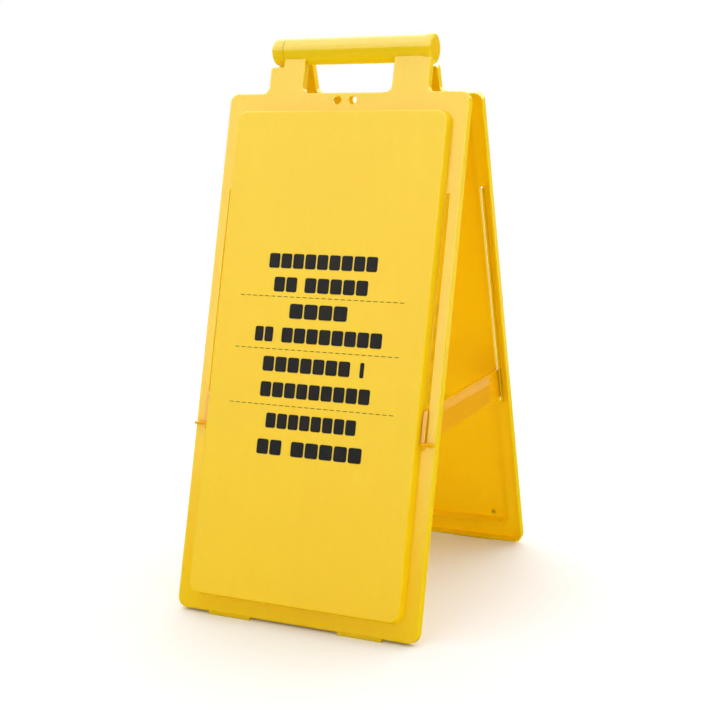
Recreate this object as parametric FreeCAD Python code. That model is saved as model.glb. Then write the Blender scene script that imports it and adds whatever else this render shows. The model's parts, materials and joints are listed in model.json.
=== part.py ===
import FreeCAD, Part
import math
import os

from FreeCAD import Vector

# Folding A-frame floor sign: two moulded leaves hinged on a rod at the top, held open by two stays.
# Frame: +Z up, X across the width, front leaf towards -Y, origin on the floor under the hinge.
# Millimetres throughout.

# Leaves
leaf_width = 300.0            # across the sign
leaf_top = 52.0               # hinge axis to the top edge of the leaf body
leaf_bottom = 656.3           # hinge axis to the bottom edge of the leaf body
leaf_face = 10.8              # hinge axis plane to the flange face
rim_gap = 0.3                 # hinge axis plane to the rim, so folded rims stay apart
wall = 2.5                    # moulding thickness
top_corner_radius = 10.0
bottom_corner_radius = 12.0
edge_round = 2.0              # soft outer edges
lean_deg = 15.8               # lean of each leaf when the sign stands open

# Raised panel on each leaf
panel_side_margin = 17.0      # leaf edge to the root of the panel's side wall
panel_top_margin = 21.5       # top edge of the leaf body to the root of the upper wall
panel_bottom_margin = 18.3    # bottom edge of the leaf body to the root of the lower wall
panel_height = 12.0           # proud of the flange
panel_draft = 2.7             # how far the walls lean in over that height
panel_corner_radius = 14.5
panel_round = 2.0

# Hinge, handle and tabs
barrel_radius = 16.0
barrel_wall = 3.2
barrel_edge_gap_deg = 1.5     # each handle shell stops this far short of its neighbour
tab_outer = 100.0             # half distance across the two tabs
tab_inner = 56.0              # half width of the hand opening
tab_fillet = 8.0
tab_notch_clearance = 3.5     # between the other leaf's knuckle and the tab cut down beside it
tab_roof = 3.0                # barrel to the hollow inside a tab
knuckle_length = 15.5
knuckle_side_gap = 1.0        # between a knuckle and the neighbouring handle shell
plug_knuckle_flare = 1.3      # how much wider the knuckle with the end plug is than the barrel
flare_start = 2.5             # along that knuckle
flare_length = 8.0
plug_knuckle_round = 2.2
blind_knuckle_step = 0.3      # how much slimmer the closed, rounded knuckle is than the barrel
blind_knuckle_round = 4.5
blind_wall = 3.0
shell_rod_gap = 0.3           # between a handle shell and the rod
rod_wall = 2.5
rod_fit = 0.05                # radial running fit of the rod in a knuckle
rod_end_gap = 0.3             # between the rod and the closed knuckle's end wall
plug_thickness = 3.0
plug_edge_round = 0.6
plug_spigot_length = 8.0
plug_fit = 0.05
plug_pip_radius = 1.6
plug_pip_height = 0.5
plug_pip_offset = 7.0

# Hanging holes below the hand opening
hang_hole_radius = 5.0
hang_hole_offset = 9.5
hang_hole_drop = 9.0          # top edge of the leaf body to the holes' middle

# Stays, one near each side, crossing from leaf to leaf
stay_thickness = 4.0
stay_side_clearance = 0.5
stay_middle_down = 404.5      # hinge axis down to the middle of the open stay
stay_reach = 15.0             # stay ends stand this far out from the hinge axis plane of each leaf
stay_end_radius = 4.5
stay_toe_radius = 1.0
slot_root_gap = 0.3           # panel root to the near edge of the slot
slot_corner_radius = 1.0
slot_top_clearance = 1.6      # beyond the tip of the folded stay
slot_bottom_clearance = 2.6   # beyond the stay's heel as it turns
slot_rib_thickness = 1.6
slot_rib_depth = 1.2          # hinge axis plane to the free edge of the rib beside the slot
trunnion_radius = 2.0
trunnion_fit = 0.08
trunnion_depth = 4.0          # hinge axis plane of the rear leaf to the trunnion axis
lug_thickness = 2.2
lug_radius = 3.6
lug_end_play = 0.25           # trunnion end inside the outer face of its lug
finger_thickness = 3.0
finger_depth = 6.5
finger_overhang = 1.0         # leaf edge to the tip of the finger plate
finger_face_gap = 0.35        # flange face to the finger plate
finger_folded_gap = 0.7       # the same gap when the sign is folded
finger_tip_round = 2.0
pip_radius = 2.2
pip_height = 0.4
pip_up = 13.3                 # lower edge of the stay to the pips
pip_distances = (33.2, 131.6)  # trunnion to each pip

# Foot pads on the lower edge of each leaf
pad_inner = 55.0
pad_outer = 108.0
pad_floor_clearance = 0.8     # rim of the leaf to the floor

# Modelling allowances
overlap = 1.0                 # how far joined solids run into each other
root = 0.5                    # how far a small boss is rooted in its wall
skim = 0.001                  # keeps a cutter off the plane that it opens
touch = 0.0001                # two planes nearer than this are one
wedge_spread_deg = 20.0       # between the outer corners of the wedge that trims a handle shell

# Derived sizes
lean = math.radians(lean_deg)
fold_deg = 2.0 * lean_deg
stay_turn_deg = 90.0 - lean_deg
inner_face = leaf_face - wall
hinge_height = leaf_bottom * math.cos(lean) - rim_gap * math.sin(lean) + pad_floor_clearance
panel_half_width = leaf_width / 2.0 - panel_side_margin
panel_top = leaf_top + panel_top_margin
panel_bottom = leaf_bottom - panel_bottom_margin
panel_face = leaf_face + panel_height
barrel_bore = barrel_radius - barrel_wall
rod_radius = barrel_bore - shell_rod_gap
plug_knuckle_radius = barrel_radius + plug_knuckle_flare
blind_knuckle_radius = barrel_radius - blind_knuckle_step
knuckle_inner = tab_outer - knuckle_length
shell_end = knuckle_inner - knuckle_side_gap
tab_notch = plug_knuckle_radius + tab_notch_clearance
tab_ceiling = barrel_radius + tab_roof
hang_hole_down = leaf_top + hang_hole_drop
slot_inner = panel_half_width + slot_root_gap
slot_width = stay_thickness + 2.0 * stay_side_clearance
slot_centre = slot_inner + slot_width / 2.0
stay_height = 2.0 * (trunnion_depth + leaf_face + finger_folded_gap + finger_thickness)
trunnion_down = (stay_middle_down + trunnion_depth * math.sin(lean)) / math.cos(lean)
trunnion_y = trunnion_down * math.sin(lean) + trunnion_depth * math.cos(lean)
stay_toe_y = (stay_reach + (stay_middle_down + stay_height / 2.0) * math.sin(lean)) / math.cos(lean)
slot_top = trunnion_down - trunnion_y - stay_toe_y - slot_top_clearance
slot_bottom = trunnion_down + math.hypot(stay_toe_y - trunnion_y, stay_height / 2.0) + slot_bottom_clearance

X_AXIS = Vector(1, 0, 0)
Y_AXIS = Vector(0, 1, 0)
Z_AXIS = Vector(0, 0, 1)
ORIGIN = Vector(0, 0, 0)


def rounded_wire(corners, place):
    """Closed wire through corners (a, b, radius); place turns (a, b) into a point in space."""
    edges = []
    ends = []
    count = len(corners)
    for index in range(count):
        a, b, radius = corners[index]
        before = corners[index - 1]
        after = corners[(index + 1) % count]
        here = Vector(a, b, 0)
        back = Vector(before[0], before[1], 0).sub(here)
        ahead = Vector(after[0], after[1], 0).sub(here)
        back.normalize()
        ahead.normalize()
        if radius <= 0:
            ends.append((here, here, None))
            continue
        half = back.getAngle(ahead) / 2.0
        run = radius / math.tan(half)
        start = here.add(Vector(back).multiply(run))
        finish = here.add(Vector(ahead).multiply(run))
        bisector = back.add(ahead)
        bisector.normalize()
        middle = here.add(bisector.multiply(radius / math.sin(half) - radius))
        ends.append((start, finish, middle))
    for index in range(count):
        start, finish, middle = ends[index]
        if middle is not None:
            arc = Part.Arc(place(start), place(middle), place(finish))
            edges.append(arc.toShape())
        following = ends[(index + 1) % count][0]
        if finish.distanceToPoint(following) > touch:
            edges.append(Part.makeLine(place(finish), place(following)))
    return Part.Wire(edges)


def on_leaf(depth):
    """Placer for outlines given as (across, down) on a leaf, at a depth out from the hinge plane."""
    return lambda point: Vector(point.x, -depth, -point.y)


def slab(corners, depth_from, depth_to):
    """Plate on a leaf with the given outline, between two depths."""
    face = Part.Face(rounded_wire(corners, on_leaf(depth_from)))
    return face.extrude(Vector(0, depth_from - depth_to, 0))


def box_corners(left, right, top, bottom, radius):
    return [(left, top, radius), (right, top, radius), (right, bottom, radius), (left, bottom, radius)]


def cylinder_x(radius, x_from, x_to, y=0.0, z=0.0):
    return Part.makeCylinder(radius, x_to - x_from, Vector(x_from, y, z), X_AXIS)


def edges_at_depth(solid, depth):
    """Edges that lie wholly in the plane at this depth."""
    found = []
    for edge in solid.Edges:
        box = edge.BoundBox
        if abs(box.YMin + depth) < touch and abs(box.YMax + depth) < touch:
            found.append(edge)
    return found


def leaf_outline():
    """Outline of the body and its two tabs; the left tab is cut down beside the other knuckle."""
    half = leaf_width / 2.0
    notch_round = edge_round + root
    return [
        (-half, leaf_top, top_corner_radius),
        (-tab_outer, leaf_top, tab_fillet),
        (-tab_outer, tab_notch, notch_round),
        (-shell_end, tab_notch, 0),
        (-shell_end, inner_face, 0),
        (-tab_inner, inner_face, 0),
        (-tab_inner, leaf_top, tab_fillet),
        (tab_inner, leaf_top, tab_fillet),
        (tab_inner, inner_face, 0),
        (tab_outer, inner_face, 0),
        (tab_outer, leaf_top, tab_fillet),
        (half, leaf_top, top_corner_radius),
        (half, leaf_bottom, bottom_corner_radius),
        (-half, leaf_bottom, bottom_corner_radius),
    ]


def tray():
    """Hollow body of a leaf, open at the back, with its hollow tabs."""
    half = leaf_width / 2.0
    outer = slab(leaf_outline(), leaf_face, rim_gap)
    outer = outer.makeFillet(edge_round, edges_at_depth(outer, leaf_face))
    body_hollow = [
        (-half + wall, leaf_top + wall, top_corner_radius - wall),
        (half - wall, leaf_top + wall, top_corner_radius - wall),
        (half - wall, leaf_bottom - wall, bottom_corner_radius - wall),
        (-half + wall, leaf_bottom - wall, bottom_corner_radius - wall),
    ]
    shape = outer.cut(slab(body_hollow, inner_face, rim_gap - overlap))
    for left, right, ceiling in (
        (-shell_end + wall, -tab_inner - wall, tab_ceiling),
        (-tab_outer + wall, -shell_end + wall + overlap, tab_notch + wall),
        (tab_inner + wall, tab_outer - wall, tab_ceiling),
    ):
        tab_hollow = box_corners(left, right, ceiling, leaf_top + wall + overlap, 0)
        shape = shape.cut(slab(tab_hollow, inner_face, rim_gap - overlap))
    return shape


def drafted_block(inset, depth_from, depth_to):
    """Raised panel form: rounded rectangle that narrows by the draft as it rises."""
    wires = []
    for step, depth in ((0.0, depth_from), (panel_draft, depth_to)):
        shrink = inset + step
        corners = box_corners(
            -panel_half_width + shrink,
            panel_half_width - shrink,
            panel_top + shrink,
            panel_bottom - shrink,
            panel_corner_radius - shrink,
        )
        wires.append(rounded_wire(corners, on_leaf(depth)))
    return Part.makeLoft(wires, True, True)


def with_panel(shape):
    """Adds the raised panel and hollows it from behind."""
    raised = drafted_block(0.0, leaf_face, panel_face)
    raised = raised.makeFillet(panel_round, edges_at_depth(raised, panel_face))
    base = slab(
        box_corners(
            -panel_half_width,
            panel_half_width,
            panel_top,
            panel_bottom,
            panel_corner_radius,
        ),
        inner_face,
        leaf_face,
    )
    hollow = drafted_block(wall, inner_face - skim, panel_face - wall)
    return shape.fuse(raised).fuse(base).cut(hollow)


def handle_shell():
    """Outer half of the handle, wrapped round the rod and stopping clear of the other leaf's half."""
    ring = cylinder_x(barrel_radius, -shell_end, knuckle_inner + overlap)
    ring = ring.cut(cylinder_x(barrel_bore, -shell_end - overlap, knuckle_inner + 2.0 * overlap))
    reach = 3.0 * barrel_radius
    lower = math.radians(90.0 - barrel_edge_gap_deg)
    upper = math.radians(90.0 - fold_deg / 2.0 - barrel_edge_gap_deg)
    middle = (upper - lower) / 2.0
    spread = math.radians(wedge_spread_deg)
    points = [ORIGIN]
    for angle in (-lower, middle - spread, middle + spread, upper):
        points.append(Vector(0, -reach * math.cos(angle), reach * math.sin(angle)))
    points.append(ORIGIN)
    wedge = Part.Face(Part.makePolygon(points))
    wedge = wedge.extrude(X_AXIS * (knuckle_inner + shell_end + overlap))
    wedge.translate(Vector(-shell_end, 0, 0))
    return ring.common(wedge)


def edges_at_end(solid, x):
    """Edges that start in the plane across the handle at this x."""
    return [edge for edge in solid.Edges if abs(edge.BoundBox.XMin - x) < touch]


def plug_knuckle():
    """Flared knuckle, bored through for the rod and the end plug."""
    flare_from = knuckle_inner + flare_start
    flare_to = flare_from + flare_length
    neck = cylinder_x(barrel_radius, knuckle_inner, flare_from)
    flare = Part.makeCone(barrel_radius, plug_knuckle_radius, flare_length, Vector(flare_from, 0, 0), X_AXIS)
    body = neck.fuse(flare).fuse(cylinder_x(plug_knuckle_radius, flare_to, tab_outer))
    return body.makeFillet(plug_knuckle_round, edges_at_end(body, tab_outer))


def blind_knuckle():
    """Plain knuckle with a rounded, closed end."""
    body = cylinder_x(blind_knuckle_radius, knuckle_inner, tab_outer)
    return body.makeFillet(blind_knuckle_round, edges_at_end(body, tab_outer))


def stay_slot(side):
    """Cutter for the long slot beside the panel; side is -1 or 1."""
    left = side * slot_centre - slot_width / 2.0
    corners = box_corners(left, left + slot_width, slot_top, slot_bottom, slot_corner_radius)
    return slab(corners, inner_face - overlap, leaf_face + overlap)


def slot_rib(side):
    """Guide rib behind the flange, along the outboard edge of the slot."""
    near = side * (slot_centre + slot_width / 2.0)
    far = near + side * slot_rib_thickness
    corners = box_corners(min(near, far), max(near, far), slot_top, slot_bottom, 0)
    return slab(corners, slot_rib_depth, inner_face + overlap)


def stay_lugs(side):
    """Pair of ears behind the slot that carry a stay's trunnion."""
    ears = []
    for outward in (-1, 1):
        near = side * slot_centre + outward * slot_width / 2.0
        far = near + outward * lug_thickness
        left = min(near, far)
        post = Part.makeBox(
            lug_thickness,
            inner_face - trunnion_depth + overlap,
            2.0 * lug_radius,
            Vector(left, -inner_face - overlap, -trunnion_down - lug_radius),
        )
        cap = cylinder_x(lug_radius, left, left + lug_thickness, -trunnion_depth, -trunnion_down)
        ears.append(post.fuse(cap))
    return ears


def foot_pads():
    """Pads under the lower edge, left long so the floor plane can trim them."""
    pads = []
    excess = (pad_floor_clearance + leaf_face * math.sin(lean)) / math.cos(lean) + overlap
    for side in (-1, 1):
        left = min(side * pad_inner, side * pad_outer)
        right = max(side * pad_inner, side * pad_outer)
        corners = box_corners(left, right, leaf_bottom - wall, leaf_bottom + excess, 0)
        pads.append(slab(corners, rim_gap, leaf_face - edge_round / 2.0))
    return pads


def make_leaf(knuckle, bore_end, with_lugs):
    """One leaf, hanging straight down from the hinge axis with its face towards -Y."""
    shape = with_panel(tray())
    shape = shape.fuse(handle_shell()).fuse(knuckle)
    for pad in foot_pads():
        shape = shape.fuse(pad)
    shape = shape.cut(cylinder_x(barrel_bore, -tab_outer - overlap, knuckle_inner))
    shape = shape.cut(cylinder_x(rod_radius + rod_fit, knuckle_inner - overlap, bore_end))
    for side in (-1, 1):
        shape = shape.fuse(slot_rib(side)).cut(stay_slot(side))
        hole = Part.makeCylinder(
            hang_hole_radius,
            leaf_face,
            Vector(side * hang_hole_offset, 0, -hang_hole_down),
            -Y_AXIS,
        )
        shape = shape.cut(hole)
        if with_lugs:
            for ear in stay_lugs(side):
                shape = shape.fuse(ear)
            bore_reach = slot_width / 2.0 + lug_thickness + overlap
            bore = cylinder_x(
                trunnion_radius + trunnion_fit,
                side * slot_centre - bore_reach,
                side * slot_centre + bore_reach,
                -trunnion_depth,
                -trunnion_down,
            )
            shape = shape.cut(bore)
    return shape.removeSplitter()


def stand_open(shape, direction):
    """Leans a hanging leaf to its open position and lifts the hinge to its height."""
    placed = shape.copy()
    placed.rotate(ORIGIN, X_AXIS, direction * lean_deg)
    placed.translate(Vector(0, 0, hinge_height))
    return placed


def trim_to_floor(shape):
    reach = 2.0 * leaf_bottom
    below = Part.makeBox(reach, reach, reach, Vector(-reach / 2.0, -reach / 2.0, -reach))
    return shape.cut(below)


def make_front_leaf():
    leaf = make_leaf(plug_knuckle(), tab_outer + overlap, False)
    return trim_to_floor(stand_open(leaf, -1))


def make_rear_leaf():
    leaf = make_leaf(blind_knuckle(), tab_outer - blind_wall, True)
    leaf.rotate(ORIGIN, Z_AXIS, 180.0)
    return trim_to_floor(stand_open(leaf, 1))


def make_hinge_rod():
    """Tube from the closed knuckle to the end plug."""
    start = -tab_outer + blind_wall + rod_end_gap
    finish = tab_outer - plug_thickness - plug_fit
    rod = cylinder_x(rod_radius, start, finish, 0.0, hinge_height)
    bore = cylinder_x(rod_radius - rod_wall, start - overlap, finish + overlap, 0.0, hinge_height)
    return rod.cut(bore)


def make_end_plug():
    """Disc with a spigot that closes the open knuckle and the rod, and two pips on its face."""
    seat_x = tab_outer - plug_thickness
    spigot_radius = rod_radius - rod_wall - plug_fit
    disc = cylinder_x(rod_radius, seat_x, tab_outer, 0.0, hinge_height)
    disc = disc.makeFillet(plug_edge_round, edges_at_end(disc, tab_outer))
    spigot_end = seat_x - plug_spigot_length
    plug = disc.fuse(cylinder_x(spigot_radius, spigot_end, seat_x + overlap, 0.0, hinge_height))
    for side in (-1, 1):
        height = hinge_height + side * plug_pip_offset
        pip = cylinder_x(plug_pip_radius, tab_outer - root, tab_outer + plug_pip_height, 0.0, height)
        plug = plug.fuse(pip)
    return plug


def front_face_y(depth, z):
    """Y of a point on the open front leaf at this depth and this height from the hinge axis."""
    return -(depth - z * math.sin(lean)) / math.cos(lean)


def finger_plate(side):
    """Plate that stands in front of the flange and stops the leaves from opening further."""
    bottom = -stay_middle_down - stay_height / 2.0
    near = slot_centre - stay_thickness / 2.0
    tip = leaf_width / 2.0 - finger_overhang
    back = front_face_y(leaf_face + finger_face_gap, bottom)
    corner = Vector(min(side * near, side * tip), back - finger_depth, bottom)
    plate = Part.makeBox(tip - near, finger_depth, finger_thickness, corner)
    tip_edges = []
    for edge in plate.Edges:
        box = edge.BoundBox
        at_tip = abs(box.XMin - side * tip) < touch and abs(box.XMax - side * tip) < touch
        upright = abs(box.ZLength - finger_thickness) < touch
        if at_tip and upright:
            tip_edges.append(edge)
    return plate.makeFillet(finger_tip_round, tip_edges)


def make_stay(side):
    """Strap through both slots, with a trunnion at the rear leaf and a finger plate in front."""
    top = -stay_middle_down + stay_height / 2.0
    bottom = -stay_middle_down - stay_height / 2.0
    profile = [
        (front_face_y(stay_reach, top), top, stay_end_radius),
        (-front_face_y(stay_reach, top), top, stay_end_radius),
        (stay_toe_y, bottom, stay_end_radius),
        (-stay_toe_y, bottom, stay_toe_radius),
    ]
    outer_x = side * (slot_centre + stay_thickness / 2.0)
    left = side * slot_centre - stay_thickness / 2.0
    wire = rounded_wire(profile, lambda point: Vector(left, point.x, point.y))
    strap = Part.Face(wire).extrude(X_AXIS * stay_thickness)
    stay = strap.fuse(finger_plate(side))

    reach = slot_width / 2.0 + lug_thickness - lug_end_play
    ends = (side * slot_centre - reach, side * slot_centre + reach)
    stay = stay.fuse(cylinder_x(trunnion_radius, *ends, trunnion_y, -stay_middle_down))

    for distance in pip_distances:
        start = min(outer_x - side * root, outer_x + side * pip_height)
        finish = start + root + pip_height
        stay = stay.fuse(cylinder_x(pip_radius, start, finish, trunnion_y - distance, bottom + pip_up))
    stay.translate(Vector(0, 0, hinge_height))
    return stay


def main():
    os.makedirs("parts", exist_ok=True)
    parts = {
        "front_leaf": make_front_leaf(),
        "rear_leaf": make_rear_leaf(),
        "hinge_rod": make_hinge_rod(),
        "end_plug": make_end_plug(),
        "right_stay": make_stay(1),
        "left_stay": make_stay(-1),
    }
    for name, shape in parts.items():
        shape.exportStep("parts/" + name + ".step")
        print(name, "valid", shape.isValid(), "solids", len(shape.Solids))
        print("    volume cm3", round(shape.Volume / 1000.0, 1), "box", shape.BoundBox)
    print("hinge height", round(hinge_height, 3))
    print("trunnion down the leaf", round(trunnion_down, 3))
    print("fold", round(fold_deg, 3), "stay turn", round(stay_turn_deg, 3))
    print("stay turn to fold", stay_turn_deg / fold_deg)


main()
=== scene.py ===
"""Looks of a folding floor sign moulded in yellow plastic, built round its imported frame.

Every length is in metres. The sign stands on the floor at z = 0, its front leaf faces -Y, and its
handle lies along X, over the origin.
"""

import json
import logging
import math
from dataclasses import dataclass
from enum import Enum

import bmesh
import bpy
from mathutils import Matrix, Vector


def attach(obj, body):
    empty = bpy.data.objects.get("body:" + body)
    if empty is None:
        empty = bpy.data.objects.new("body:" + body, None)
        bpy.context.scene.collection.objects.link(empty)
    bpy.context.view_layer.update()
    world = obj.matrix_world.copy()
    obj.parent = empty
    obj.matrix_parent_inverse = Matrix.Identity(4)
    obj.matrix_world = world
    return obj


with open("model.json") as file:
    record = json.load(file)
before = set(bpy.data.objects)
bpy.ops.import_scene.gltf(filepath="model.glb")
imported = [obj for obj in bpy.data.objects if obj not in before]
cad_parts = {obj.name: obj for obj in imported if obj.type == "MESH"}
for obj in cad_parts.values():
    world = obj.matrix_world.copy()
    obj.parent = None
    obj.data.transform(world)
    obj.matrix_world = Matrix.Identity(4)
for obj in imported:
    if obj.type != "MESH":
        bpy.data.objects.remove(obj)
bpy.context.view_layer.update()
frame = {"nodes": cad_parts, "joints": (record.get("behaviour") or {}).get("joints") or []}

MM = 0.001

log = logging.getLogger("sandwich_board")

Feed = bpy.types.NodeSocket | float | tuple
Colour = tuple[float, float, float]


class Side(Enum):
    """Which of the two leaves something belongs to: its body's name, and how it is turned about Z."""

    FRONT = ("front_leaf", 1.0)
    REAR = ("rear_leaf", -1.0)

    @property
    def body(self) -> str:
        """The name of the leaf's body, which is also its node's name."""
        return self.value[0]

    @property
    def turn(self) -> float:
        """1 for the front leaf, and -1 for the rear one, which is the same leaf turned half round."""
        return self.value[1]


# ---------------------------------------------------------------------------------------------
# Places on a leaf
# ---------------------------------------------------------------------------------------------


@dataclass(frozen=True)
class LeafPlace:
    """Directions and depths of one leaf, which leans out from the hinge axis.

    A place on it is (across, up, out): along the handle, up the leaf from the hinge axis, and out
    of the plane of the hinge axis.
    """

    side: Side
    hinge_height: float
    lean: float = math.radians(15.8)
    flange_out: float = 10.8 * MM
    panel_proud: float = 12 * MM
    wall: float = 2.5 * MM

    @property
    def panel_out(self) -> float:
        """How far the panel's face is from the plane of the hinge axis."""
        return self.flange_out + self.panel_proud

    @property
    def panel_back_out(self) -> float:
        """How far the panel's hidden inner face is from the plane of the hinge axis."""
        return self.panel_out - self.wall

    def matrix(self) -> Matrix:
        """The change from (across, up, out) on the leaf to the frame's own axes."""
        turn = self.side.turn
        across = Vector((turn, 0, 0))
        up = Vector((0, turn * math.sin(self.lean), math.cos(self.lean)))
        out = Vector((0, -turn * math.cos(self.lean), math.sin(self.lean)))
        axes = Matrix((across, up, out)).transposed().to_4x4()
        return Matrix.Translation((0, 0, self.hinge_height)) @ axes


# ---------------------------------------------------------------------------------------------
# Writing node trees
# ---------------------------------------------------------------------------------------------


class NodeSheet:
    """A node tree that is written one node at a time."""

    mix_factor = 0
    mix_first = 6
    mix_second = 7
    mix_result = 2

    def __init__(self, tree: bpy.types.NodeTree) -> None:
        """Takes the tree to write in.

        Args:
            tree: an empty shader or geometry node tree.
        """
        self.tree = tree

    def add(self, kind: str, **settings: object) -> bpy.types.Node:
        """Adds one node.

        Args:
            kind: the node's type.
            settings: its properties, by name.

        Returns:
            The new node.
        """
        node = self.tree.nodes.new(kind)
        for name, value in settings.items():
            setattr(node, name, value)
        return node

    def feed(self, socket: bpy.types.NodeSocket, source: Feed) -> None:
        """Gives an input its value, or a link to where its value comes from.

        Args:
            socket: the input.
            source: an output socket, a number, or a colour or vector.
        """
        if isinstance(source, bpy.types.NodeSocket):
            self.tree.links.new(source, socket)
        else:
            socket.default_value = source

    def math(self, operation: str, first: Feed, second: Feed = 0.0) -> bpy.types.NodeSocket:
        """Adds one sum.

        Args:
            operation: the Math node's operation.
            first: the first number.
            second: the second number.

        Returns:
            The socket with the result.
        """
        node = self.add("ShaderNodeMath", operation=operation)
        self.feed(node.inputs[0], first)
        self.feed(node.inputs[1], second)
        return node.outputs[0]

    def axes(self, point: Feed) -> bpy.types.bpy_prop_collection:
        """Splits a point.

        Args:
            point: the point.

        Returns:
            The outputs X, Y and Z.
        """
        node = self.add("ShaderNodeSeparateXYZ")
        self.feed(node.inputs[0], point)
        return node.outputs

    def ramp(
        self,
        value: Feed,
        start: Feed,
        end: Feed,
        low: Feed = 0.0,
        high: Feed = 1.0,
        course: str = "SMOOTHSTEP",
    ) -> bpy.types.NodeSocket:
        """Adds a step between two levels.

        Args:
            value: what is measured.
            start: where the step starts.
            end: where it ends.
            low: the result before the start.
            high: the result after the end.
            course: how it goes from one to the other.

        Returns:
            The socket with the result.
        """
        node = self.add("ShaderNodeMapRange", interpolation_type=course)
        names = ("Value", "From Min", "From Max", "To Min", "To Max")
        for name, source in zip(names, (value, start, end, low, high)):
            self.feed(node.inputs[name], source)
        return node.outputs["Result"]

    def blend(self, share: Feed, first: Feed, second: Feed, how: str = "MIX") -> bpy.types.NodeSocket:
        """Adds a mix of two colours.

        Args:
            share: how much of the second colour shows.
            first: the first colour.
            second: the second colour.
            how: the blend type.

        Returns:
            The socket with the mixed colour.
        """
        node = self.add("ShaderNodeMix", data_type="RGBA", blend_type=how)
        self.feed(node.inputs[self.mix_factor], share)
        self.feed(node.inputs[self.mix_first], first)
        self.feed(node.inputs[self.mix_second], second)
        return node.outputs[self.mix_result]

    def noise(self, point: Feed, scale: Feed, detail: float = 2.0) -> bpy.types.NodeSocket:
        """Adds cloudy noise.

        Args:
            point: where it is read.
            scale: how many clouds there are to a metre.
            detail: how many finer layers it has.

        Returns:
            The socket with the noise, from 0 to 1.
        """
        node = self.add("ShaderNodeTexNoise")
        node.inputs["Detail"].default_value = detail
        self.feed(node.inputs["Vector"], point)
        self.feed(node.inputs["Scale"], scale)
        return node.outputs["Fac"]

    def stretch(self, point: Feed, scale: tuple[float, float, float]) -> bpy.types.NodeSocket:
        """Stretches a pattern.

        Args:
            point: where the pattern is read.
            scale: how much finer it is along each axis.

        Returns:
            The socket with the stretched point.
        """
        node = self.add("ShaderNodeVectorMath", operation="MULTIPLY")
        self.feed(node.inputs[0], point)
        self.feed(node.inputs[1], scale)
        return node.outputs[0]

    def either(self, second_if: Feed, first: bpy.types.Node, second: bpy.types.Node) -> bpy.types.Node:
        """Chooses between two shaders by the kind of ray.

        Args:
            second_if: 1 for the rays that see the second shader.
            first: the first shader.
            second: the second shader.

        Returns:
            The node that chooses.
        """
        chosen = self.add("ShaderNodeMixShader")
        self.feed(chosen.inputs[0], second_if)
        self.feed(chosen.inputs[1], first.outputs[0])
        self.feed(chosen.inputs[2], second.outputs[0])
        return chosen


class MaterialSheet(NodeSheet):
    """The node tree of a new material, with its main shader and the point that its patterns read."""

    def __init__(self, name: str) -> None:
        """Makes the material.

        Args:
            name: the material's name.
        """
        self.material = bpy.data.materials.new(name)
        self.material.use_nodes = True
        super().__init__(self.material.node_tree)
        self.shader = self.tree.nodes["Principled BSDF"]
        self.point = self.add("ShaderNodeTexCoord").outputs["Object"]

    def bump(self, height: Feed, depth: float) -> None:
        """Gives the main shader its bump.

        Args:
            height: the height of the skin, in depths.
            depth: how deep a height of 1 is.
        """
        node = self.add("ShaderNodeBump")
        node.inputs["Distance"].default_value = depth
        self.feed(node.inputs["Height"], height)
        self.feed(self.shader.inputs["Normal"], node.outputs["Normal"])


class ShaderGroup:
    """A shader node group with named inputs and outputs, built once and placed in many materials."""

    kinds = {float: "NodeSocketFloat", tuple: "NodeSocketColor", Vector: "NodeSocketVector"}

    def __init__(self, name: str, inputs: dict[str, object], outputs: dict[str, type]) -> None:
        """Makes the group and its sockets.

        Args:
            name: the group's name.
            inputs: each input's name and its value when nothing feeds it.
            outputs: each output's name and its kind.
        """
        self.tree = bpy.data.node_groups.new(name, "ShaderNodeTree")
        for label, value in inputs.items():
            kind = self.kinds[type(value)]
            socket = self.tree.interface.new_socket(name=label, in_out="INPUT", socket_type=kind)
            socket.default_value = (*value, 1.0) if isinstance(value, tuple) else value
        for label, kind in outputs.items():
            self.tree.interface.new_socket(name=label, in_out="OUTPUT", socket_type=self.kinds[kind])
        self.sheet = NodeSheet(self.tree)
        self.inputs = self.sheet.add("NodeGroupInput").outputs
        self.outputs = self.sheet.add("NodeGroupOutput").inputs

    def place(self, sheet: NodeSheet, **feeds: Feed) -> bpy.types.bpy_prop_collection:
        """Places the group in a material.

        Args:
            sheet: the material's node tree.
            feeds: what feeds each input, by its name with _ for a space.

        Returns:
            The placed group's outputs.
        """
        node = sheet.add("ShaderNodeGroup", node_tree=self.tree)
        for label, source in feeds.items():
            name = label.replace("_", " ")
            sheet.feed(node.inputs[name], (*source, 1.0) if isinstance(source, tuple) else source)
        return node.outputs


# ---------------------------------------------------------------------------------------------
# Effects that several finishes share
# ---------------------------------------------------------------------------------------------


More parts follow.
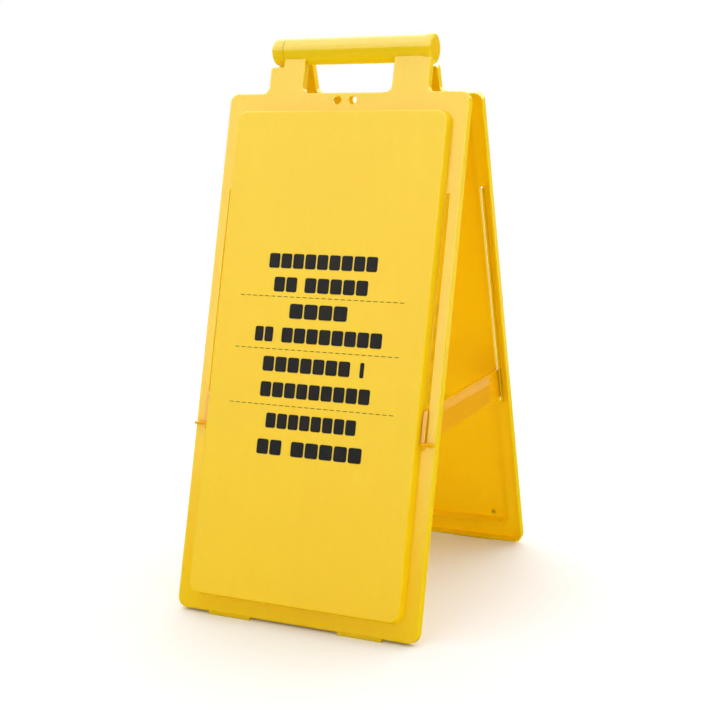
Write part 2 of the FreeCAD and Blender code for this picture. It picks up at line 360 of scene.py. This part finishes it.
class PlasticEffects:
    """The shader node groups that the plastics share."""

    def __init__(self) -> None:
        """Builds each group once."""
        self.leaf_depth = self._leaf_depth()
        self.moulded_skin = self._moulded_skin()
        self.handling_wear = self._handling_wear()

    def _leaf_depth(self) -> ShaderGroup:
        """Measures how far out of the plane of the hinge axis a point lies, on a leaning leaf.

        Returns:
            The group, which puts out Out.
        """
        inputs = {
            "Point": Vector(),
            "Turn": 1.0,
            "Hinge Height": 0.0,
            "Lean Sine": 0.0,
            "Lean Cosine": 1.0,
        }
        group = ShaderGroup("leaf_depth", inputs, {"Out": float})
        sheet, taken = group.sheet, group.inputs
        axes = sheet.axes(taken["Point"])
        depth = sheet.math("MULTIPLY", axes["Y"], taken["Turn"])
        height = sheet.math("SUBTRACT", axes["Z"], taken["Hinge Height"])
        depth_share = sheet.math("MULTIPLY", depth, taken["Lean Cosine"])
        height_share = sheet.math("MULTIPLY", height, taken["Lean Sine"])
        sheet.feed(group.outputs["Out"], sheet.math("SUBTRACT", height_share, depth_share))
        return group

    def _moulded_skin(self) -> ShaderGroup:
        """The skin of a moulding: drifts of colour in the melt, a slight ripple and a fine grain.

        Returns:
            The group, which puts out Colour, Roughness and Height.
        """
        inputs = {
            "Point": Vector(),
            "Colour": (0.8, 0.5, 0.0),
            "Deep Colour": (0.7, 0.4, 0.0),
            "Drift Scale": 7.0,
            "Drift": 0.5,
            "Roughness": 0.2,
            "Roughness Spread": 0.08,
            "Ripple": 1.0,
            "Grain": 1.0,
        }
        outputs = {"Colour": tuple, "Roughness": float, "Height": float}
        group = ShaderGroup("moulded_skin", inputs, outputs)
        sheet, taken, given = group.sheet, group.inputs, group.outputs
        flow_scale, flow_stretch = 14.0, (6.0, 1.0, 1.0)
        cloud_from, cloud_to = 0.75, 1.25
        grain_scale, grain_height = 1400.0, 0.02
        patch_scale, ripple_scale = 90.0, 55.0
        drift = sheet.noise(taken["Point"], taken["Drift Scale"], 3.0)
        flow = sheet.noise(sheet.stretch(taken["Point"], flow_stretch), flow_scale, 4.0)
        step = sheet.ramp(sheet.math("ADD", drift, flow), cloud_from, cloud_to)
        cloud = sheet.math("MULTIPLY", step, taken["Drift"])
        sheet.feed(given["Colour"], sheet.blend(cloud, taken["Colour"], taken["Deep Colour"]))
        grain = sheet.noise(taken["Point"], grain_scale)
        patch = sheet.noise(taken["Point"], patch_scale, 3.0)
        uneven = sheet.math("SUBTRACT", sheet.math("ADD", grain, patch), 1.0)
        spread = sheet.math("MULTIPLY", uneven, taken["Roughness Spread"])
        sheet.feed(given["Roughness"], sheet.math("ADD", taken["Roughness"], spread))
        ripple = sheet.math("MULTIPLY", sheet.noise(taken["Point"], ripple_scale, 1.0), taken["Ripple"])
        fine = sheet.math("MULTIPLY", grain, sheet.math("MULTIPLY", taken["Grain"], grain_height))
        sheet.feed(given["Height"], sheet.math("ADD", ripple, fine))
        return group

    def _handling_wear(self) -> ShaderGroup:
        """Fine hairline scratches and scuffs from being carried, stacked and stood on floors.

        Returns:
            The group, which puts out Scratch and Scuff, both from 0 to 1.
        """
        inputs = {"Point": Vector(), "Scratches": 0.5, "Scuffs": 0.5, "Foot Height": 0.03}
        group = ShaderGroup("handling_wear", inputs, {"Scratch": float, "Scuff": float})
        sheet, taken, given = group.sheet, group.inputs, group.outputs
        line_middle, line_width = 0.5, 0.012
        line_courses = (((1.0, 0.1, 0.35), 45.0), ((0.16, 1.0, 1.0), 32.0))
        break_scale, break_from, break_to = 24.0, 0.52, 0.6
        speckle_scale, speckle_from, speckle_to = 260.0, 0.45, 0.7
        masks = []
        for stretch, scale in line_courses:
            line = sheet.noise(sheet.stretch(taken["Point"], stretch), scale)
            off = sheet.math("ABSOLUTE", sheet.math("SUBTRACT", line, line_middle))
            masks.append(sheet.ramp(off, 0.0, line_width, 1.0, 0.0))
        broken = sheet.ramp(sheet.noise(taken["Point"], break_scale), break_from, break_to)
        lines = sheet.math("MULTIPLY", sheet.math("MAXIMUM", *masks), broken)
        sheet.feed(given["Scratch"], sheet.math("MULTIPLY", lines, taken["Scratches"]))
        height = sheet.axes(taken["Point"])["Z"]
        low = sheet.ramp(height, 0.0, taken["Foot Height"], 1.0, 0.0)
        speckle = sheet.ramp(sheet.noise(taken["Point"], speckle_scale, 4.0), speckle_from, speckle_to)
        foot = sheet.math("MULTIPLY", low, speckle)
        sheet.feed(given["Scuff"], sheet.math("MULTIPLY", foot, taken["Scuffs"]))
        return group


# ---------------------------------------------------------------------------------------------
# Finishes
# ---------------------------------------------------------------------------------------------


@dataclass(frozen=True)
class MouldedPlastic:
    """Coloured plastic from a polished mould."""

    name: str
    colour: Colour = (0.955, 0.635, 0.003)
    deep_colour: Colour = (0.94, 0.605, 0.002)
    roughness: float = 0.13
    roughness_spread: float = 0.05
    ripple: float = 1.0
    ripple_depth: float = 0.10 * MM
    grain: float = 1.0
    drift: float = 0.5
    scratches: float = 0.25
    scuffs: float = 0.03
    scuff_colour: Colour = (0.42, 0.30, 0.09)
    worn_roughness: float = 0.25
    scratch_depth: float = 0.08
    refraction: float = 1.5
    glow: float = 0.7
    glow_depth: float = 5.5 * MM
    glow_spread: tuple[float, float, float] = (1.0, 0.85, 0.3)

    def material(self, effects: PlasticEffects) -> bpy.types.Material:
        """Makes the finish.

        Args:
            effects: the shared shader groups.

        Returns:
            The material.
        """
        sheet = MaterialSheet(self.name)
        shader, point = sheet.shader, sheet.point
        roughness = self.surface_roughness(sheet, point, effects)
        skin = effects.moulded_skin.place(
            sheet,
            Point=point,
            Colour=self.colour,
            Deep_Colour=self.deep_colour,
            Drift=self.drift,
            Roughness=roughness,
            Roughness_Spread=self.roughness_spread,
            Ripple=self.ripple,
            Grain=self.grain,
        )
        wear = effects.handling_wear.place(
            sheet,
            Point=point,
            Scratches=self.scratches,
            Scuffs=self.scuffs,
        )
        colour = sheet.blend(wear["Scuff"], skin["Colour"], (*self.scuff_colour, 1.0))
        sheet.feed(shader.inputs["Base Color"], colour)
        marred = sheet.math("MAXIMUM", wear["Scratch"], wear["Scuff"])
        worn = sheet.math("MULTIPLY", marred, self.worn_roughness)
        sheet.feed(shader.inputs["Roughness"], sheet.math("ADD", skin["Roughness"], worn))
        scored = sheet.math("MULTIPLY", wear["Scratch"], self.scratch_depth)
        height = sheet.math("SUBTRACT", skin["Height"], scored)
        sheet.bump(self.surface_height(sheet, point, height), self.ripple_depth)
        sheet.feed(shader.inputs["IOR"], self.refraction)
        sheet.feed(shader.inputs["Subsurface Weight"], self.glow)
        sheet.feed(shader.inputs["Subsurface Radius"], self.glow_spread)
        sheet.feed(shader.inputs["Subsurface Scale"], self.glow_depth)
        return sheet.material

    def surface_roughness(self, sheet: NodeSheet, point: Feed, effects: PlasticEffects) -> Feed:
        """The roughness, before its own spread."""
        return self.roughness

    def surface_height(self, sheet: NodeSheet, point: Feed, height: Feed) -> Feed:
        """The height of the skin, in ripple depths."""
        return height


@dataclass(frozen=True)
class StayPlastic(MouldedPlastic):
    """The stays' plastic, painted darker and more orange than the leaves' yellow as painted shade; the
    strap thins a little towards its upper edge, which catches the light.
    """

    name: str = "stay_plastic"
    # painted shade: the leaves' yellow made darker and more orange, as the stays' sides look with the
    # dark floor in their gloss
    colour: Colour = (0.84, 0.42, 0.003)
    deep_colour: Colour = (0.82, 0.40, 0.002)
    roughness: float = 0.12
    ripple: float = 2.5
    strap_top: float = 246.2 * MM
    chamfer_start: float = 2 * MM
    chamfer_end: float = 13 * MM
    chamfer_depth: float = 0.95 * MM
    waver: float = 12 * MM
    waver_scale: float = 26.0

    def surface_height(self, sheet: NodeSheet, point: Feed, height: Feed) -> Feed:
        """Lowers the skin towards the strap's upper edge.

        Args:
            sheet: the material's node tree.
            point: the place in the frame.
            height: the height of the skin, in ripple depths.

        Returns:
            The socket with the height of the skin, in ripple depths.
        """
        low, high = self.strap_top - self.chamfer_end, self.strap_top - self.chamfer_start
        fall = self.chamfer_depth / self.ripple_depth
        drift = sheet.math("SUBTRACT", sheet.noise(point, self.waver_scale), 0.5)
        level = sheet.math("ADD", sheet.axes(point)["Z"], sheet.math("MULTIPLY", drift, self.waver))
        drop = sheet.ramp(level, low, high, 0.0, fall, "LINEAR")
        return sheet.math("SUBTRACT", height, drop)


@dataclass(frozen=True)
class LeafPlastic(MouldedPlastic):
    """The leaves' plastic: glossy, but satin on the panel's face so that ink holds on it."""

    roughness: float = 0.2
    place: LeafPlace | None = None
    panel_roughness: float = 0.4
    face_band: float = 0.8 * MM

    def surface_roughness(self, sheet: NodeSheet, point: Feed, effects: PlasticEffects) -> Feed:
        """Gives the panel's face its own roughness.

        Args:
            sheet: the material's node tree.
            point: the place in the frame.
            effects: the shared shader groups.

        Returns:
            The socket with the roughness.
        """
        on_leaf = effects.leaf_depth.place(
            sheet,
            Point=point,
            Turn=self.place.side.turn,
            Hinge_Height=self.place.hinge_height,
            Lean_Sine=math.sin(self.place.lean),
            Lean_Cosine=math.cos(self.place.lean),
        )
        face = self.place.panel_out
        return sheet.ramp(
            on_leaf["Out"], face - self.face_band, face, self.roughness, self.panel_roughness
        )


@dataclass(frozen=True)
class ScreenInk:
    """Black screen ink, a little thin in patches."""

    name: str = "screen_ink"
    colour: Colour = (0.006, 0.006, 0.007)
    thin_colour: Colour = (0.02, 0.016, 0.006)
    roughness: float = 0.5
    roughness_spread: float = 0.15
    drift: float = 0.4
    drift_scale: float = 60.0
    shine: float = 0.12
    ripple_depth: float = 0.02 * MM

    def material(self, effects: PlasticEffects) -> bpy.types.Material:
        """Makes the ink.

        Args:
            effects: the shared shader groups.

        Returns:
            The material.
        """
        sheet = MaterialSheet(self.name)
        skin = effects.moulded_skin.place(
            sheet,
            Point=sheet.point,
            Colour=self.colour,
            Deep_Colour=self.thin_colour,
            Drift_Scale=self.drift_scale,
            Drift=self.drift,
            Roughness=self.roughness,
            Roughness_Spread=self.roughness_spread,
        )
        sheet.feed(sheet.shader.inputs["Base Color"], skin["Colour"])
        sheet.feed(sheet.shader.inputs["Roughness"], skin["Roughness"])
        sheet.feed(sheet.shader.inputs["Specular IOR Level"], self.shine)
        sheet.bump(skin["Height"], self.ripple_depth)
        return sheet.material


@dataclass(frozen=True)
class StudioPaper:
    """The pale, matt paper that the sign stands on.

    What the sign's gloss reflects of it is darker: gloss_near in front, and gloss_far beyond the turn.
    """

    name: str = "studio_paper"
    colour: Colour = (0.93, 0.93, 0.925)
    fibre_colour: Colour = (0.9, 0.9, 0.895)
    fibre_scale: float = 300.0
    fibre_detail: float = 4.0
    roughness: float = 0.9
    shine: float = 0.1
    gloss_near: float = 0.03
    gloss_far: float = 0.32
    gloss_turn: tuple[float, float] = (1.05, 1.3)

    def material(self) -> bpy.types.Material:
        """Makes the paper.

        Returns:
            The material.
        """
        sheet = MaterialSheet(self.name)
        fibre = sheet.noise(sheet.point, self.fibre_scale, self.fibre_detail)
        colour = sheet.blend(fibre, (*self.colour, 1.0), (*self.fibre_colour, 1.0))
        sheet.feed(sheet.shader.inputs["Base Color"], colour)
        sheet.feed(sheet.shader.inputs["Roughness"], self.roughness)
        sheet.feed(sheet.shader.inputs["Specular IOR Level"], self.shine)
        reflected = sheet.add("ShaderNodeBsdfDiffuse")
        depth = sheet.axes(sheet.point)["Y"]
        tone = sheet.ramp(depth, *self.gloss_turn, self.gloss_near, self.gloss_far)
        sheet.feed(reflected.inputs["Color"], tone)
        glossy = sheet.add("ShaderNodeLightPath").outputs["Is Glossy Ray"]
        paper = sheet.either(glossy, sheet.shader, reflected)
        sheet.feed(sheet.tree.nodes["Material Output"].inputs["Surface"], paper.outputs[0])
        return sheet.material


# ---------------------------------------------------------------------------------------------
# Marks that repeat along a line
# ---------------------------------------------------------------------------------------------


@dataclass(frozen=True)
class Run:
    """Marks set side by side along a straight line across a leaf."""

    start: float
    end: float
    down: float
    count: int
    gap: float
    height: float

    @property
    def mark_width(self) -> float:
        """How wide one mark is."""
        return (self.end - self.start - (self.count - 1) * self.gap) / self.count


@dataclass(frozen=True)
class MarkKind:
    """What some marks are like: their finish and slot, their thickness, and their corners' radius.

    The radius is a share of a mark's size, up to a half, which makes the mark round.
    """

    finish: bpy.types.Material
    slot: str
    thickness: float
    corner: float


class MarkTree:
    """Geometry Nodes that set a thin rounded mark at even steps along each edge of a mesh.

    The mesh's points carry how many marks there are on their edge, and how wide and high they are.
    """

    count_name = "mark_count"
    width_name = "mark_width"
    height_name = "mark_height"
    corner_steps = 4
    weld = 0.001 * MM
    shortest_run = 0.1 * MM

    def __init__(self) -> None:
        """Builds the tree."""
        self.tree = bpy.data.node_groups.new("marks_along_runs", "GeometryNodeTree")
        self.keys: dict[str, str] = {}
        for name, kind, way in (
            ("Runs", "NodeSocketGeometry", "INPUT"),
            ("Corner Radius", "NodeSocketFloat", "INPUT"),
            ("Thickness", "NodeSocketFloat", "INPUT"),
            ("Finish", "NodeSocketMaterial", "INPUT"),
            ("Marks", "NodeSocketGeometry", "OUTPUT"),
        ):
            socket = self.tree.interface.new_socket(name=name, in_out=way, socket_type=kind)
            self.keys[name] = socket.identifier
        self._write()

    def _write(self) -> None:
        """Writes the nodes."""
        sheet = NodeSheet(self.tree)
        taken = sheet.add("NodeGroupInput").outputs
        given = sheet.add("NodeGroupOutput").inputs
        lines = sheet.add("GeometryNodeMeshToCurve")
        sheet.feed(lines.inputs["Mesh"], taken["Runs"])
        steps = sheet.add("GeometryNodeResampleCurve", mode="COUNT")
        sheet.feed(steps.inputs["Curve"], lines.outputs["Curve"])
        sheet.feed(steps.inputs["Count"], self._stored(sheet, self.count_name, "INT"))
        points = sheet.add("GeometryNodeCurveToPoints", mode="EVALUATED")
        sheet.feed(points.inputs["Curve"], steps.outputs["Curve"])
        shape = self._mark(sheet, taken)
        size = sheet.add("ShaderNodeCombineXYZ")
        sheet.feed(size.inputs["X"], self._stored(sheet, self.width_name, "FLOAT"))
        sheet.feed(size.inputs["Y"], self._stored(sheet, self.height_name, "FLOAT"))
        sheet.feed(size.inputs["Z"], 1.0)
        placed = sheet.add("GeometryNodeInstanceOnPoints")
        sheet.feed(placed.inputs["Points"], points.outputs["Points"])
        sheet.feed(placed.inputs["Instance"], shape)
        sheet.feed(placed.inputs["Scale"], size.outputs["Vector"])
        real = sheet.add("GeometryNodeRealizeInstances")
        sheet.feed(real.inputs["Geometry"], placed.outputs["Instances"])
        finish = sheet.add("GeometryNodeSetMaterial")
        sheet.feed(finish.inputs["Geometry"], real.outputs["Geometry"])
        sheet.feed(finish.inputs["Material"], taken["Finish"])
        sheet.feed(given["Marks"], finish.outputs["Geometry"])

    def _stored(self, sheet: NodeSheet, name: str, kind: str) -> bpy.types.NodeSocket:
        """Reads a value stored on the mesh.

        Args:
            sheet: the tree.
            name: the value's name.
            kind: its type.

        Returns:
            The socket with the value.
        """
        node = sheet.add("GeometryNodeInputNamedAttribute", data_type=kind)
        node.inputs["Name"].default_value = name
        return node.outputs["Attribute"]

    def _mark(self, sheet: NodeSheet, taken: bpy.types.bpy_prop_collection) -> bpy.types.NodeSocket:
        """Writes one mark, a closed slab with round corners, one metre each way before it is sized.

        Args:
            sheet: the tree.
            taken: the tree's inputs.

        Returns:
            The socket with the mark.
        """
        outline = sheet.add("GeometryNodeCurvePrimitiveQuadrilateral")
        outline.inputs["Width"].default_value = 1.0
        outline.inputs["Height"].default_value = 1.0
        rounded = sheet.add("GeometryNodeFilletCurve", mode="POLY")
        rounded.inputs["Count"].default_value = self.corner_steps
        sheet.feed(rounded.inputs["Curve"], outline.outputs["Curve"])
        sheet.feed(rounded.inputs["Radius"], taken["Corner Radius"])
        face = sheet.add("GeometryNodeFillCurve", mode="NGONS")
        sheet.feed(face.inputs["Curve"], rounded.outputs["Curve"])
        top = sheet.add("GeometryNodeExtrudeMesh", mode="FACES")
        sheet.feed(top.inputs["Mesh"], face.outputs["Mesh"])
        sheet.feed(top.inputs["Offset Scale"], taken["Thickness"])
        under = sheet.add("GeometryNodeFlipFaces")
        sheet.feed(under.inputs["Mesh"], face.outputs["Mesh"])
        both = sheet.add("GeometryNodeJoinGeometry")
        sheet.feed(both.inputs["Geometry"], top.outputs["Mesh"])
        sheet.feed(both.inputs["Geometry"], under.outputs["Mesh"])
        closed = sheet.add("GeometryNodeMergeByDistance")
        closed.inputs["Distance"].default_value = self.weld
        sheet.feed(closed.inputs["Geometry"], both.outputs["Geometry"])
        return closed.outputs["Geometry"]

    def make(self, name: str, runs: list[Run], kind: MarkKind, place: LeafPlace, out: float) -> None:
        """Makes one piece from its runs: a plain mesh on the leaf, with its place in its vertices.

        Args:
            name: the end of the piece's name, after its leaf's.
            runs: the lines of marks, in places on the leaf.
            kind: what the marks are like.
            place: the leaf that they lie on.
            out: how far out on the leaf they lie.
        """
        full_name = f"{place.side.body}_{name}"
        lines = self._lines(full_name, runs, out)
        modifier = lines.modifiers.new("marks", "NODES")
        modifier.node_group = self.tree
        modifier[self.keys["Corner Radius"]] = kind.corner
        modifier[self.keys["Thickness"]] = kind.thickness
        modifier[self.keys["Finish"]] = kind.finish
        graph = bpy.context.evaluated_depsgraph_get()
        mesh = bpy.data.meshes.new_from_object(lines.evaluated_get(graph), depsgraph=graph)
        lines.modifiers.remove(modifier)
        bpy.data.objects.remove(lines)
        mesh.transform(place.matrix())
        mesh.name = full_name
        piece = bpy.data.objects.new(full_name, mesh)
        bpy.context.scene.collection.objects.link(piece)
        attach(piece, place.side.body)
        log.info("%s: %d faces", full_name, len(mesh.polygons))

    def _lines(self, name: str, runs: list[Run], out: float) -> bpy.types.Object:
        """Draws each run as one edge, from its first mark's middle to its last mark's middle.

        Args:
            name: the piece's name.
            runs: the lines of marks.
            out: how far out on the leaf they lie.

        Returns:
            An object that holds the edges.
        """
        points, edges, counts, widths, heights = [], [], [], [], []
        for run in runs:
            half = run.mark_width / 2
            first = run.start + half
            last = max(run.end - half, first + self.shortest_run)
            edges.append((len(points), len(points) + 1))
            points.extend(((first, -run.down, out), (last, -run.down, out)))
            counts.extend((run.count,) * 2)
            widths.extend((run.mark_width,) * 2)
            heights.extend((run.height,) * 2)
        mesh = bpy.data.meshes.new(f"{name}_lines")
        mesh.from_pydata(points, edges, [])
        for label, kind, values in (
            (self.count_name, "INT", counts),
            (self.width_name, "FLOAT", widths),
            (self.height_name, "FLOAT", heights),
        ):
            mesh.attributes.new(label, kind, "POINT").data.foreach_set("value", values)
        lines = bpy.data.objects.new(f"{name}_lines", mesh)
        bpy.context.scene.collection.objects.link(lines)
        return lines


# ---------------------------------------------------------------------------------------------
# Sub-assemblies
# ---------------------------------------------------------------------------------------------


@dataclass(frozen=True)
class WordRow:
    """One row of the legend: how far down the leaf it is, and where each word starts and ends."""

    down: float
    words: tuple[tuple[float, float, int], ...]


@dataclass
class Legend:
    """The printed legend: rows of plain blocks, one for each letter, and dashed rules between them.

    It stands for words without spelling any.
    """

    place: LeafPlace
    marks: MarkTree
    finish: bpy.types.Material
    letter_height: float = 17 * MM
    letter_gap: float = 1.7 * MM
    ink: float = 0.06 * MM
    rule_reach: float = 102 * MM
    rule_height: float = 0.7 * MM
    dash_count: int = 26
    dash_gap: float = 2.6 * MM
    corner: float = 0.16
    rules: tuple[float, ...] = (291 * MM, 351 * MM, 414.5 * MM)
    rows: tuple[WordRow, ...] = (
        WordRow(250 * MM, ((-69 * MM, 66 * MM, 9),)),
        WordRow(277 * MM, ((-60 * MM, -31 * MM, 2), (-21 * MM, 57 * MM, 5))),
        WordRow(307 * MM, ((-37 * MM, 35 * MM, 4),)),
        WordRow(334.5 * MM, ((-78 * MM, -55 * MM, 2), (-44 * MM, 80 * MM, 8))),
        WordRow(368 * MM, ((-64 * MM, 45 * MM, 7), (57 * MM, 62 * MM, 1))),
        WordRow(397 * MM, ((-64 * MM, 72 * MM, 9),)),
        WordRow(432 * MM, ((-53 * MM, 59 * MM, 8),)),
        WordRow(462 * MM, ((-61 * MM, -30 * MM, 2), (-18 * MM, 69 * MM, 5))),
    )

    def build(self) -> None:
        """Prints the words and the rules on the panel."""
        words = [
            Run(start, end, row.down, count, self.letter_gap, self.letter_height)
            for row in self.rows
            for start, end, count in row.words
        ]
        rules = [
            Run(-self.rule_reach, self.rule_reach, down, self.dash_count, self.dash_gap, self.rule_height)
            for down in self.rules
        ]
        kind = MarkKind(self.finish, "legend", self.ink, self.corner)
        for name, runs in (("legend_words", words), ("legend_rules", rules)):
            self.marks.make(name, runs, kind, self.place, self.place.panel_out)


@dataclass
class EjectorMarks:
    """The small round marks that the mould's pins leave on the back of the panel, near its corners."""

    place: LeafPlace
    marks: MarkTree
    finish: bpy.types.Material
    reach: float = 106.5 * MM
    radius: float = 3 * MM
    proud: float = 0.25 * MM
    corner: float = 0.499
    rows: tuple[float, ...] = (86 * MM, 625.8 * MM)

    def build(self) -> None:
        """Presses two marks in each row."""
        width = 2 * self.radius
        edge = self.reach + self.radius
        runs = [Run(-edge, edge, down, 2, 2 * (edge - width), width) for down in self.rows]
        kind = MarkKind(self.finish, "leaf", self.proud, self.corner)
        self.marks.make("ejector_marks", runs, kind, self.place, self.place.panel_back_out - self.proud)


@dataclass
class Leaf:
    """One moulded leaf with its ejector marks and its legend."""

    place: LeafPlace
    effects: PlasticEffects
    marks: MarkTree
    ink: bpy.types.Material

    def build(self) -> None:
        """Dresses the leaf, adds its ejector marks and prints its legend."""
        body = self.place.side.body
        finish = LeafPlastic(name=f"{body}_plastic", place=self.place).material(self.effects)
        dress(body, finish)
        EjectorMarks(self.place, self.marks, finish).build()
        Legend(self.place, self.marks, self.ink).build()


@dataclass
class Handle:
    """The rod that the leaves fold on, and the plug that closes the handle's open end."""

    effects: PlasticEffects
    rod_finish: MouldedPlastic = MouldedPlastic(
        name="rod_plastic",
        colour=(0.85, 0.5, 0.01),
        roughness=0.38,
        grain=3.0,
    )
    plug_finish: MouldedPlastic = MouldedPlastic(
        name="plug_plastic",
        colour=(0.94, 0.55, 0.003),
        roughness=0.1,
    )

    def build(self) -> None:
        """Dresses the rod and the plug."""
        dress("hinge_rod", self.rod_finish.material(self.effects))
        dress("end_plug", self.plug_finish.material(self.effects))


@dataclass
class Stays:
    """The two stays that hold the leaves apart."""

    effects: PlasticEffects
    nodes: tuple[str, ...] = ("right_stay", "left_stay")
    finish: StayPlastic = StayPlastic()

    def build(self) -> None:
        """Dresses both stays in one finish."""
        material = self.finish.material(self.effects)
        for node in self.nodes:
            dress(node, material)


def dress(node: str, material: bpy.types.Material) -> None:
    """Gives a carried-over node its finish.

    Args:
        node: the node's name.
        material: its finish.
    """
    for slot in frame["nodes"][node].material_slots:
        slot.material = material
    log.info("%s: dressed in %s", node, material.name)


# ---------------------------------------------------------------------------------------------
# The studio
# ---------------------------------------------------------------------------------------------


@dataclass(frozen=True)
class Softbox:
    """A large soft light: where it hangs, what it points at, its size and its power in watts."""

    name: str
    place: tuple[float, float, float]
    size: tuple[float, float]
    power: float
    aim: tuple[float, float, float] = (0.0, 0.0, 0.35)
    colour: Colour = (1.0, 0.99, 0.97)

    def build(self) -> None:
        """Hangs the light."""
        lamp = bpy.data.lights.new(self.name, "AREA")
        lamp.shape = "RECTANGLE"
        lamp.size, lamp.size_y = self.size
        lamp.energy = self.power
        lamp.color = self.colour
        holder = bpy.data.objects.new(self.name, lamp)
        holder.location = self.place
        gaze = Vector(self.aim) - Vector(self.place)
        holder.rotation_euler = gaze.to_track_quat("-Z", "Y").to_euler()
        bpy.context.scene.collection.objects.link(holder)


@dataclass(frozen=True)
class Viewpoint:
    """Where the camera stands and how it looks."""

    place: tuple[float, float, float] = (0.6604, -1.4372, 0.5847)
    azimuth: float = math.radians(24.63)
    pitch_down: float = math.radians(11.28)
    roll: float = math.radians(0.86)
    lens_mm: float = 67.09
    sensor_mm: float = 36.0

    def build(self) -> None:
        """Sets the camera up."""
        data = bpy.data.cameras.new("camera")
        data.lens = self.lens_mm
        data.sensor_width = self.sensor_mm
        camera = bpy.data.objects.new("camera", data)
        turn = Matrix.Rotation(self.azimuth, 4, "Z")
        tilt = Matrix.Rotation(math.pi / 2 - self.pitch_down, 4, "X")
        roll = Matrix.Rotation(-self.roll, 4, "Z")
        camera.matrix_world = Matrix.Translation(self.place) @ (turn @ tilt) @ roll
        bpy.context.scene.collection.objects.link(camera)
        bpy.context.scene.camera = camera


@dataclass
class Studio:
    """A pale floor, a pale surround that is brighter behind, and one large soft light overhead."""

    floor_radius: float = 9.0
    floor_sides: int = 96
    front_fill: float = 0.585
    rear_fill: float = 1.95
    fill_turn: tuple[float, float] = (-0.25, 0.55)
    cloth: float = 3.5
    dark: float = 0.04
    cloth_edge: tuple[float, float] = (math.radians(10.5), math.radians(13.5))
    backdrop: float = 1.0
    lights: tuple[Softbox, ...] = (Softbox("top_softbox", (-0.6, -1.0, 2.6), (1.8, 1.8), 14.0),)

    def build(self) -> None:
        """Lays the floor, lights it and sets the camera up."""
        self._floor()
        self._surround()
        for light in self.lights:
            light.build()
        Viewpoint().build()
        bpy.context.scene.view_settings.view_transform = "Standard"

    def _floor(self) -> None:
        """Lays a round floor."""
        plan = bmesh.new()
        bmesh.ops.create_circle(plan, cap_ends=True, segments=self.floor_sides, radius=self.floor_radius)
        mesh = bpy.data.meshes.new("studio_floor")
        plan.to_mesh(mesh)
        plan.free()
        floor = bpy.data.objects.new("studio_floor", mesh)
        floor.data.materials.append(StudioPaper().material())
        bpy.context.scene.collection.objects.link(floor)

    def _surround(self) -> None:
        """Lights the room, more from behind than in front, and shows it as a plain white backdrop.

        What the sign's gloss reflects is the light cloth overhead, which ends just above the floor.
        """
        world = bpy.data.worlds.new("studio")
        world.use_nodes = True
        bpy.context.scene.world = world
        sheet = NodeSheet(world.node_tree)
        way = sheet.axes(sheet.add("ShaderNodeTexCoord").outputs["Generated"])
        room = world.node_tree.nodes["Background"]
        fill = sheet.ramp(way["Y"], *self.fill_turn, self.front_fill, self.rear_fill)
        sheet.feed(room.inputs["Strength"], fill)
        cloth = sheet.add("ShaderNodeBackground")
        low, high = (math.sin(angle) for angle in self.cloth_edge)
        sheet.feed(cloth.inputs["Strength"], sheet.ramp(way["Z"], low, high, self.dark, self.cloth))
        seen = sheet.add("ShaderNodeBackground")
        seen.inputs["Strength"].default_value = self.backdrop
        for background in (room, cloth, seen):
            background.inputs["Color"].default_value = (1.0, 1.0, 1.0, 1.0)
        rays = sheet.add("ShaderNodeLightPath").outputs
        shine = sheet.either(rays["Is Glossy Ray"], room, cloth)
        shown = sheet.either(rays["Is Camera Ray"], shine, seen)
        sheet.feed(world.node_tree.nodes["World Output"].inputs["Surface"], shown.outputs[0])


def main() -> None:
    """Builds the sign's looks and the studio, in order."""
    logging.basicConfig(level=logging.INFO, format="%(name)s: %(message)s")
    fold = next(joint for joint in frame["joints"] if joint["name"] == "fold")
    effects = PlasticEffects()
    marks = MarkTree()
    ink = ScreenInk().material(effects)
    for side in Side:
        Leaf(LeafPlace(side, fold["pos_m"][2]), effects, marks, ink).build()
    Handle(effects).build()
    Stays(effects).build()
    Studio().build()


if __name__ == "__main__":
    main()
